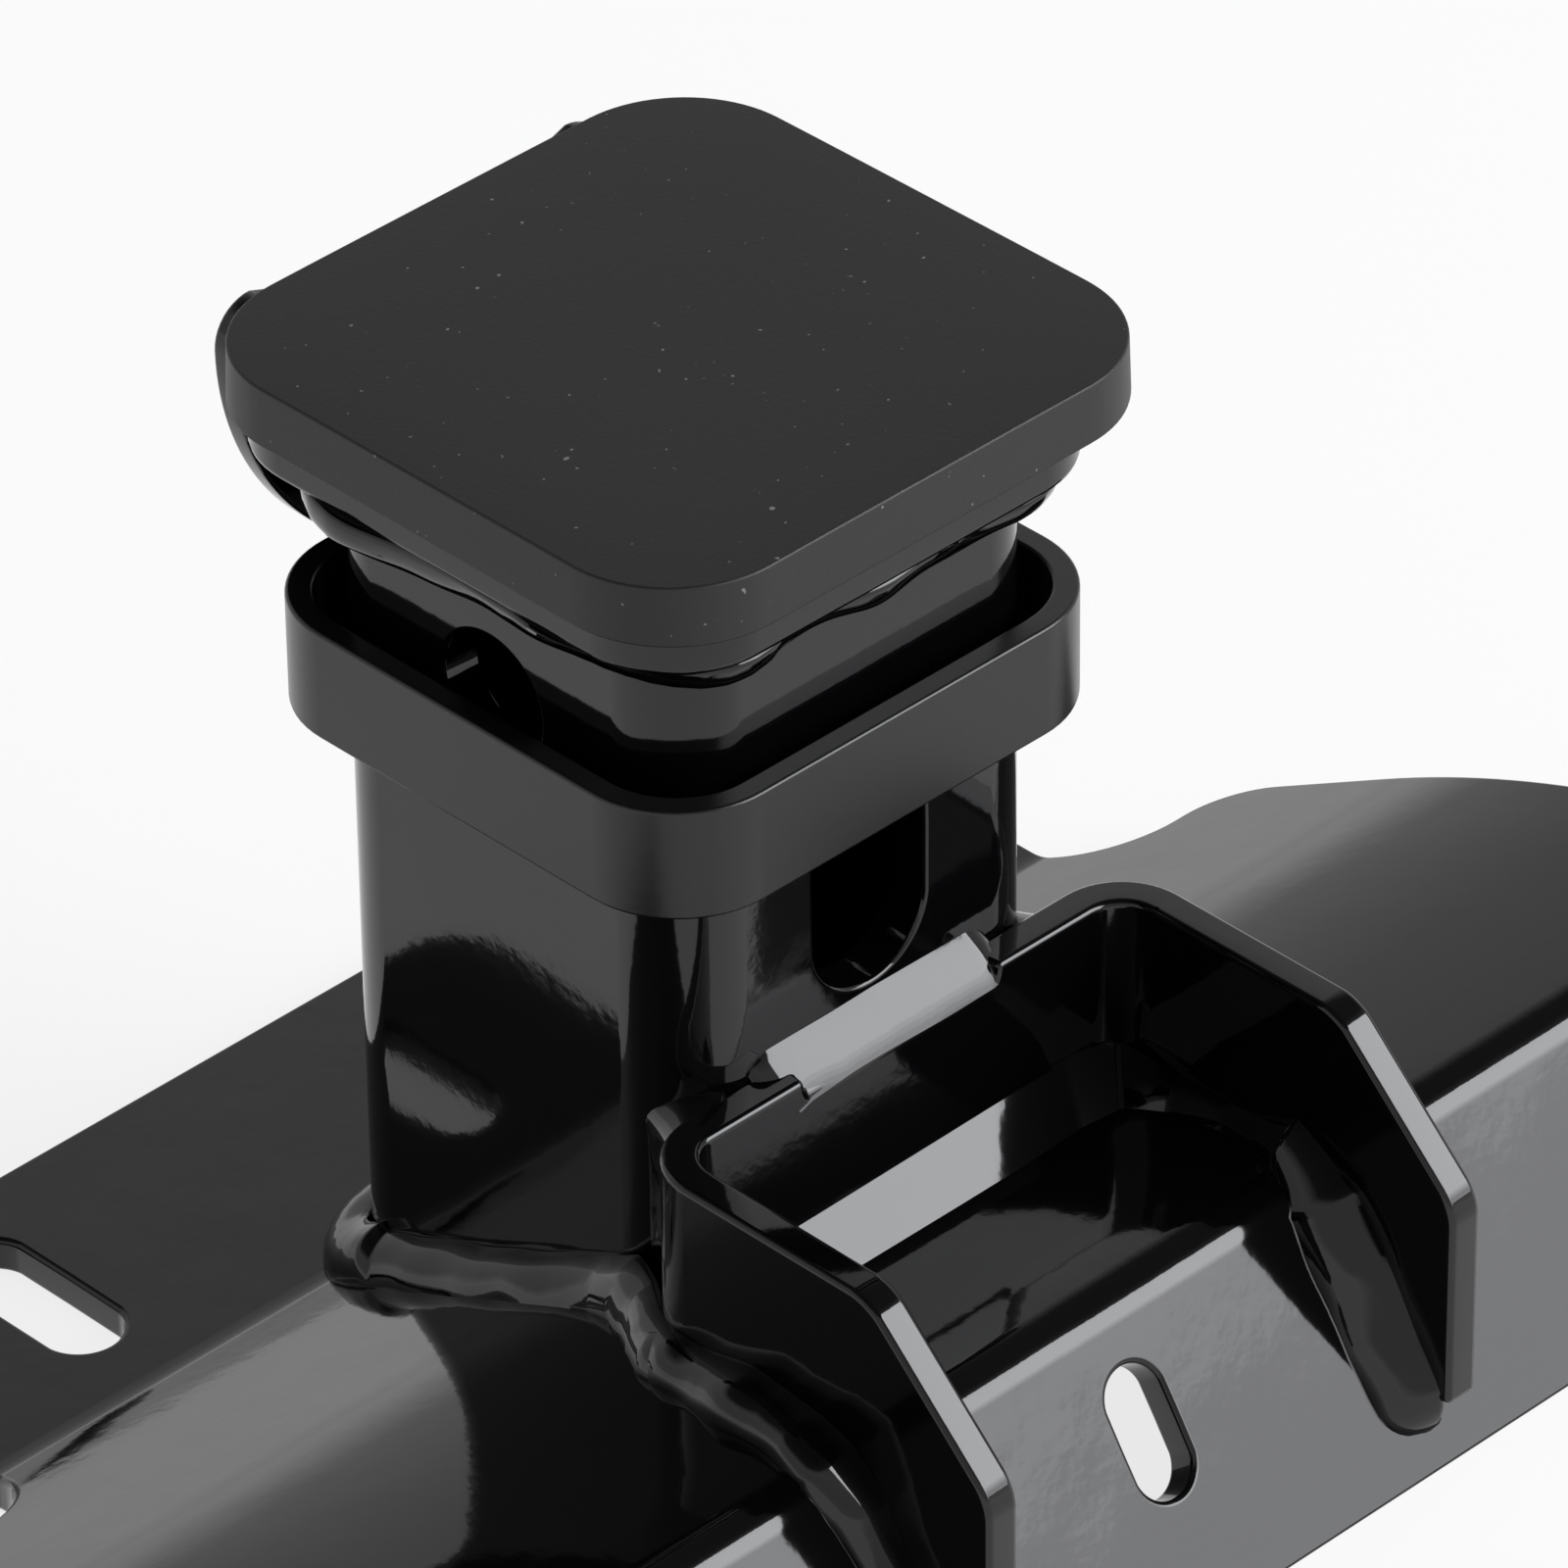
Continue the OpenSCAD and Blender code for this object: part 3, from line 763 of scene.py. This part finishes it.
class HITCH_OT_rear_tab(PieceOperator, bpy.types.Operator):
    """Cuts the tab that stands behind the cap, with its shoulders and its curved sides"""
    bl_idname = "hitch.rear_tab"
    bl_label = "Rear tab"

    def execute(self, context):
        t = context.scene.hitch_tube
        low, top, half = TAB[0].z, TAB[1].z - t.tab_sag, TAB[1].x
        y = TAB[0].y - AXIS_Y
        side_z = top - t.tab_shoulder
        fall = math.asin((side_z - low) / t.tab_side)
        foot = half - t.tab_side * (1 - math.cos(fall))
        tab = draw("tab_plate", at(0, y, low), [
            run(-foot, 0, 0),
            turn(math.degrees(fall), at(t.tab_side - half, y, side_z), 24),
            turn(90, at(t.tab_shoulder - half, y, side_z), 10),
            run(t.tab_shoulder, 0, -t.tab_dip),
            run(half - 2 * t.tab_shoulder, 0, 0)], (0, 1, 0))
        modify(tab, "MIRROR", use_axis=(True, False, False))
        pull(tab, (0, TAB[1].y - TAB[0].y, 0), fill=True)
        outward(tab)
        round_edges(tab, t.edge)
        finish(tab, "receiver", ["rear_tab"],
               finish_named("gloss_black_powder_coat", gloss_powder_coat))
        return {"FINISHED"}


class HITCH_OT_chain_bracket(PieceOperator, bpy.types.Operator):
    """Bends the flat bar round the front, cuts it to the plate and chamfers its ears"""
    bl_idname = "hitch.chain_bracket"
    bl_label = "Chain bracket"

    def execute(self, context):
        b = context.scene.hitch_bracket
        p = context.scene.hitch_plate
        left, right = BRACKET[0].x, BRACKET[1].x
        front, low, top = BRACKET[0].y - AXIS_Y, BRACKET[0].z, BRACKET[1].z
        bend = b.bend
        reach = -HALF - bend - front
        bar = draw("bent_bar", at(left, front, low), [
            run(0, reach, 0),
            turn(-90, at(left + bend, -HALF - bend, low), 14),
            run(right - left - 2 * bend, 0, 0),
            turn(-90, at(right - bend, -HALF - bend, low), 14),
            run(0, -reach, 0)], (0, 0, 1))
        pull(bar, (0, 0, top - low))
        face_up(bar, (0, 1, 0))
        modify(bar, "SOLIDIFY", thickness=b.thickness, offset=-1, use_even_offset=True)
        side = draw("side", at(-FAR / 2, front, low - OVER), [
            run(0, 0, top - b.chamfer_z - low + OVER),
            run(0, b.chamfer_y, b.chamfer_z),
            run(0, -front, 0),
            run(0, 0, low - top - OVER)], (1, 0, 0))
        edit(side)
        pick("VERT", lambda v: v.co.z > low and v.co.y < AXIS_Y - HALF - b.thickness)
        bpy.ops.mesh.bevel(offset=b.corner, segments=8, affect="VERTICES")
        leave()
        cut(bar, pull(side, (FAR, 0, 0), fill=True), "INTERSECT")
        cut(bar, under_plate(p))
        # The top weld has melted the web's front edge to a slope, along most of its length
        melt_start, melt_end = -16 * MM, 17 * MM
        melted = draw("melted_edge", at(melt_start, -HALF - 1.4 * MM, top + 0.5 * MM), [
            run(0, -6 * MM, 0),
            run(0, 0, -5.4 * MM)], (1, 0, 0))
        cut(bar, pull(melted, (melt_end - melt_start, 0, 0), fill=True))
        outward(bar)
        round_edges(bar, b.edge, 4)
        finish(bar, "receiver", ["chain_bracket"],
               finish_named("gloss_black_powder_coat", gloss_powder_coat))
        return {"FINISHED"}


class HITCH_OT_welds(PieceOperator, bpy.types.Operator):
    """Lays the weld beads that join the tube, the bracket, the collar and the tab"""
    bl_idname = "hitch.welds"
    bl_label = "Welds"

    def execute(self, context):
        half, thick = HALF / MM, context.scene.hitch_bracket.thickness / MM
        web = -half - thick
        walls = {"left": BRACKET[0].x / MM, "right": BRACKET[1].x / MM}

        # Stops round the tube's foot, on the right: x, y, outward x and y, tall, wide, crown.
        # The groove is where the foot's bead runs out over the bracket's bend to its ear.
        groove = [(32.6, -26, 1, 0.2, 6.4, 6, 0.2), (35.4, -31, 1, 0.55, 6, 5.6, 0.2),
                  (38.6, -35.5, 1, 0.5, 5.4, 5.4, 0.2)]
        side = [(half, y, 1, 0, tall, 6.2, 0.17) for y, tall in
                ((20, 5.2), (12, 4.8), (2, 4.4), (-6, 4.4), (-14, 4.8), (-20, 5.6))] + groove
        side += [(40.9, -39, 1, 0.25, 5, 5.4, 0.2), (41.6, -43, 1, 0, 4, 5.4, 0.2),
                 (41.6, -47, 1, 0, 3, 4, 0.1)]
        stops = [on_plate(*row) for row in reversed(side)]
        stops += [on_plate(*spot, 6.2, 6.2) for spot in round_tube((0, 1))]
        stops += [on_plate(-x, y, -a, b, *rest) for x, y, a, b, *rest in side]
        lay("foot_bead", stops, "tube_foot_weld", swell=10 * MM, seed=1)

        # Along the outside of each ear: y, tall, wide
        outside = [(-41, 5, 5.2), (-44.5, 4.8, 6.2), (-48, 4.8, 7.2), (-54, 4.6, 7.8), (-60, 4.2, 8.2),
                   (-65, 3.6, 8.4), (-69, 3, 8), (-73, 3, 7.2), (-78, 3, 5.8), (-83, 2.8, 4.8),
                   (-88.5, 2.6, 4)]
        foot = plate_height(context.scene.hitch_plate, -HALF) / MM
        for s, (end, wall) in zip((-1, 1), walls.items()):
            stops = [on_plate(s * x, y, s * a, b, *rest) for x, y, a, b, *rest in groove]
            stops += [on_plate(wall, y, s, 0, tall, wide, 0.26, 0.26) for y, tall, wide in outside]
            lay("ear_bead_" + end, stops, "ear_weld_" + end, swell=9 * MM, seed=3 + s)
            # Up the groove between the tube's round corner and the bracket's bend. Its legs
            # reach from the root of the groove to the tube's side and to the bend.
            root = s * 26
            legs = Vector((s * 5.1, 7.25, 0)) * MM, Vector((wall - s * 0.6 - root, -6.55, 0)) * MM
            stops = [(at(root * MM, -HALF, z * MM), *legs, -0.08, 0.06)
                     for z in (foot - 4, foot + 4, foot + 12, foot + 20, 59 - s)]
            lay("corner_bead_" + end, stops, "corner_weld_" + end, seed=8 + s)

        # Round the inside of the bracket, from the right ear's front over the web to the left
        # ear's front: y, tall, wide on the ears, and x, outward x, tall, wide on the web
        inner_left, inner_right = walls["left"] + thick, walls["right"] - thick
        ears = [(-48, 3.4, 4), (-56, 3, 3), (-62, 4, 3.8), (-66.5, 6, 5.2), (-72, 6.2, 6.8),
                (-77, 6.2, 7), (-81, 6, 6.4), (-86, 5.6, 6), (-89.5, 5, 5.6)]
        across = [(29, -0.6, 7.6, 6.4), (23, -0.42, 7.6, 6.4), (15, -0.28, 7.4, 6.3),
                  (6, -0.16, 7.2, 6.2), (-8, -0.05, 7, 6.1), (-28, 0, 6.8, 6)]
        stops = [on_plate(inner_right, y, -1, 0, tall, wide, 0.12, 0.12)
                 for y, tall, wide in reversed(ears)]
        stops += [on_plate(inner_right - 1.5, web - 1.5, -1, -1, 6.5, 7, 0.02, 0.03)]
        stops += [on_plate(x, web, lean, -1, tall, wide, 0, 0) for x, lean, tall, wide in across]
        stops += [on_plate(inner_left + 1.5, web - 1.5, 1, -1, 6, 7.5, 0, 0.03)]
        stops += [on_plate(inner_left, y, 1, 0, tall, wide, 0.15, 0.06) for y, tall, wide in ears]
        lay("inner_bead", stops, "bracket_inner_weld", seed=5)

        # On the web's top edge against the tube: x, tall, drop of the leg over the web
        crest = [(-21, 2.4, -5.4), (-18, 3, -4.4), (-15, 3, -3.4), (-8, 3, -2.9), (0, 3.2, -2.9),
                 (10, 3, -2.9), (17, 3, -2.8), (20, 2.6, -2.6)]
        stops = [(at(x * MM, -HALF, BRACKET[1].z), Vector((0, 0, tall)) * MM,
                  Vector((0, -5.2, drop)) * MM, 0.05, 0.03) for x, tall, drop in crest]
        lay("top_bead", stops, "bracket_top_weld", tip=4 * MM, seed=6)

        # Under the mouth's collar, all round the tube, and under it at the tab
        under = COLLAR[0].z
        corners = round_tube((0, 1, 2, 3))
        ring = [(at(x * MM, y * MM, under), Vector((0, 0, -4.8)) * MM, Vector((a, b, 0)) * 5.9 * MM,
                 0.22, 0.42) for x, y, a, b in corners]
        lay("collar_bead", ring + ring[:1], "mouth_collar_weld", closed=True, seed=2)
        reach = HALF - context.scene.hitch_tube.corner
        stops = [(at(x, COLLAR[1].y - AXIS_Y, under), Vector((0, 0, -5)) * MM,
                  Vector((0, -5, 0)) * MM, 0, 0.1) for x in (-reach, 0, reach)]
        lay("tab_bead", stops, "rear_tab_weld", seed=9)
        return {"FINISHED"}


# The studio


def shown(tree):
    """1 for the rays by which the camera, gloss and glass see a thing."""
    path = add(tree, "ShaderNodeLightPath")
    seen = add(tree, "ShaderNodeMath", {0: path.outputs["Is Camera Ray"], 1: path.outputs["Is Glossy Ray"]},
               operation="MAXIMUM")
    return add(tree, "ShaderNodeMath", {0: seen.outputs[0], 1: path.outputs["Is Transmission Ray"]},
               operation="MAXIMUM").outputs[0]


def lay_floor(code):
    """A pale floor that keeps its shadows, and shows almost white where it is seen."""
    bpy.ops.object.select_all(action="DESELECT")
    bpy.ops.mesh.primitive_plane_add(size=6, location=(0, 0, 0))
    floor = bpy.context.object
    floor.name = floor.data.name = "floor"
    mat, tree = blank("pale_paper")
    paint = add(tree, "ShaderNodeBsdfDiffuse", {"Color": tone(code)})
    glow = add(tree, "ShaderNodeEmission", {"Color": (1, 1, 1, 1), "Strength": 1})
    lift = add(tree, "ShaderNodeMath", {0: shown(tree), 1: 0.8}, operation="MULTIPLY")
    both = add(tree, "ShaderNodeMixShader", {0: lift.outputs[0], 1: paint.outputs[0], 2: glow.outputs[0]})
    add(tree, "ShaderNodeOutputMaterial", {"Surface": both.outputs[0]})
    floor.data.materials.append(mat)


def light_room(scene):
    """An even soft light on the object. Gloss mirrors a room that is white at the floor, grey
    at the walls and dark at the ceiling."""
    world = bpy.data.worlds.new("studio")
    scene.world = world
    world.use_nodes = True
    tree = world.node_tree
    tree.nodes.clear()
    way = add(tree, "ShaderNodeTexCoord").outputs["Generated"]
    height = add(tree, "ShaderNodeSeparateXYZ", {"Vector": way}).outputs["Z"]
    walls = add(tree, "ShaderNodeValToRGB", {"Fac": height})
    steps = walls.color_ramp.elements
    steps[0].position = 0.03
    steps[0].color = (1, 1, 1, 1)
    steps[1].position = 1
    steps[1].color = (0.05, 0.05, 0.05, 1)
    for spot, level in ((0.14, 0.62), (0.4, 0.6), (0.575, 0.66), (0.68, 0.4), (0.76, 0.1)):
        steps.new(spot).color = (level, level, level, 1)
    plain = add(tree, "ShaderNodeBackground", {"Color": (1, 1, 1, 1), "Strength": 0.45})
    room = add(tree, "ShaderNodeBackground", {"Color": walls.outputs["Color"], "Strength": 1})
    mixed = add(tree, "ShaderNodeMixShader", {0: shown(tree), 1: plain.outputs[0], 2: room.outputs[0]})
    add(tree, "ShaderNodeOutputWorld", {"Surface": mixed.outputs[0]})


def softbox(scene, name, low, high, level):
    """A lamp to the front right, between two heights in degrees, as bright as it is told."""
    side, middle = math.radians(-56), math.radians((low + high) / 2)
    reach, width = 2.4, 1.85
    tall = 2 * reach * math.tan(math.radians((high - low) / 2))
    way = Vector((math.cos(side) * math.cos(middle), math.sin(side) * math.cos(middle), math.sin(middle)))
    data = bpy.data.lights.new(name, "AREA")
    data.shape = "RECTANGLE"
    data.size = width
    data.size_y = tall
    data.energy = level * math.pi * width * tall
    data.color = (0.96, 0.97, 1)
    lamp = bpy.data.objects.new(name, data)
    lamp.location = at(0, 0, 60 * MM) + way * reach
    lamp.rotation_euler = (-way).to_track_quat("-Z", "Y").to_euler()
    scene.collection.objects.link(lamp)


def place_camera(scene):
    """A long lens from the front left, above the object, a little off the level."""
    az, el, roll = math.radians(44.14), math.radians(35.12), math.radians(-0.77)
    distance, aside, below = 1.430, 12.28 * MM, 24.18 * MM
    back = Vector((-math.sin(az) * math.cos(el), -math.cos(az) * math.cos(el), math.sin(el)))
    level = Vector((math.cos(az), -math.sin(az), 0))
    upward = back.cross(level)
    right = math.cos(roll) * level + math.sin(roll) * upward
    upright = math.cos(roll) * upward - math.sin(roll) * level
    data = bpy.data.cameras.new("camera")
    data.sensor_width = 36
    data.lens = 272.4
    data.clip_end = 20
    camera = bpy.data.objects.new("camera", data)
    middle = at(0, 0, 106.5 * MM)
    place = middle + back * distance + right * aside - upright * below
    turned = Matrix((right, upright, back)).transposed().to_4x4()
    camera.matrix_world = Matrix.Translation(place) @ turned
    scene.collection.objects.link(camera)
    scene.camera = camera


class HITCH_OT_stage(PieceOperator, bpy.types.Operator):
    """Sets the floor, the light and the camera"""
    bl_idname = "hitch.stage"
    bl_label = "Studio"

    def execute(self, context):
        scene = context.scene
        scene.view_settings.view_transform = "Standard"
        lay_floor(scene.hitch_finishes.floor)
        light_room(scene)
        softbox(scene, "softbox", 6, 44, 3.7)
        # Four more over its upper part, so that its brightness grows in steps from its foot
        for low, level in ((13, 1.2), (16, 1.2), (19, 1.2), (22, 1.3)):
            softbox(scene, "softbox_" + str(low), low, 44, level)
        place_camera(scene)
        return {"FINISHED"}


PIECES = (HITCH_OT_body_plate, HITCH_OT_receiver_tube, HITCH_OT_sliding_band, HITCH_OT_end_cap,
          HITCH_OT_rear_tab, HITCH_OT_chain_bracket, HITCH_OT_welds, HITCH_OT_stage)
GROUPS = {"hitch_plate": HitchPlateSizes, "hitch_tube": HitchTubeSizes, "hitch_bracket": HitchBracketSizes,
          "hitch_cap": HitchCapSizes, "hitch_finishes": HitchFinishes}


class HITCH_PT_panel(bpy.types.Panel):
    """Lists the pieces and their sizes"""
    bl_label = "Trailer hitch receiver"
    bl_idname = "HITCH_PT_panel"
    bl_space_type = "VIEW_3D"
    bl_region_type = "UI"
    bl_category = "Hitch"

    def draw(self, context):
        for name, group in GROUPS.items():
            box = self.layout.box()
            for field in group.__annotations__:
                box.prop(getattr(context.scene, name), field)
        for piece in PIECES:
            self.layout.operator(piece.bl_idname)


def register():
    for group in GROUPS.values():
        bpy.utils.register_class(group)
    for name, group in GROUPS.items():
        setattr(bpy.types.Scene, name, PointerProperty(type=group))
    for piece in PIECES + (HITCH_PT_panel,):
        bpy.utils.register_class(piece)


def unregister():
    for piece in reversed(PIECES + (HITCH_PT_panel,)):
        bpy.utils.unregister_class(piece)
    for name in GROUPS:
        delattr(bpy.types.Scene, name)
    for group in reversed(GROUPS.values()):
        bpy.utils.unregister_class(group)


def main():
    register()
    for piece in PIECES:
        family, name = piece.bl_idname.split(".")
        getattr(getattr(bpy.ops, family), name)()


if __name__ == "__main__":
    main()
